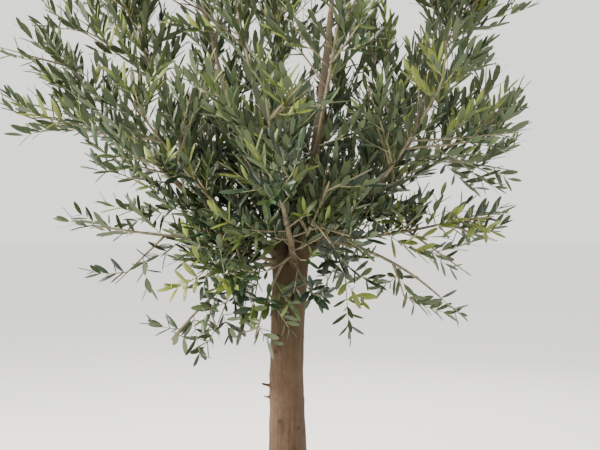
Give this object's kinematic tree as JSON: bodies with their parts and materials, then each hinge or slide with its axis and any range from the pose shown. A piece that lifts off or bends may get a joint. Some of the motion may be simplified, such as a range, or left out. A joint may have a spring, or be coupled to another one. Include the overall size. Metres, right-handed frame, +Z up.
{
  "type": "potted olive tree",
  "caption": "Standard olive tree with one clear stem, a forked head and a loose round crown of narrow leaves, growing in a plain round clay pot.",
  "frame": {"origin": "centre of the pot's flat underside", "axes": "+Z up along the stem; the side that the picture shows faces -Y, and +X is to its right"},
  "size_m": [1.5733, 1.3188, 2.6282],
  "materials": {
    "clay": "unglazed fired clay, matte, slightly mottled",
    "soil": "dark crumbly potting soil",
    "bark": "smooth light grey-brown bark with faint upright streaks",
    "foliage": "leathery narrow leaves, deep green above and grey-green below"
  },
  "bodies": {
    "root": {"pot": "clay", "soil": "soil", "trunk": "bark", "leader_limb": "bark", "right_bough_limb": "bark", "right_side_limb": "bark", "right_low_limb": "bark", "right_top_limb": "bark", "front_right_limb": "bark", "left_bough_limb": "bark", "left_upper_limb": "bark", "left_top_limb": "bark", "left_low_limb": "bark", "droop_left_limb": "bark", "droop_front_limb": "bark", "droop_right_limb": "bark", "front_bough_limb": "bark", "front_left_limb": "bark", "front_shoot_limb": "bark", "front_top_limb": "bark", "back_bough_limb": "bark", "back_left_limb": "bark", "back_right_limb": "bark", "back_top_limb": "bark", "back_right_top_limb": "bark", "back_left_top_limb": "bark", "heart_left_limb": "bark", "heart_front_limb": "bark", "heart_low_limb": "bark", "heart_back_limb": "bark", "leader_foliage": "foliage", "right_bough_foliage": "foliage", "right_side_foliage": "foliage", "right_low_foliage": "foliage", "right_top_foliage": "foliage", "front_right_foliage": "foliage", "left_bough_foliage": "foliage", "left_upper_foliage": "foliage", "left_top_foliage": "foliage", "left_low_foliage": "foliage", "droop_left_foliage": "foliage", "droop_front_foliage": "foliage", "droop_right_foliage": "foliage", "front_bough_foliage": "foliage", "front_left_foliage": "foliage", "front_shoot_foliage": "foliage", "front_top_foliage": "foliage", "back_bough_foliage": "foliage", "back_left_foliage": "foliage", "back_right_foliage": "foliage", "back_top_foliage": "foliage", "back_right_top_foliage": "foliage", "back_left_top_foliage": "foliage", "heart_left_foliage": "foliage", "heart_front_foliage": "foliage", "heart_low_foliage": "foliage", "heart_back_foliage": "foliage"}
  },
  "joints": []
}
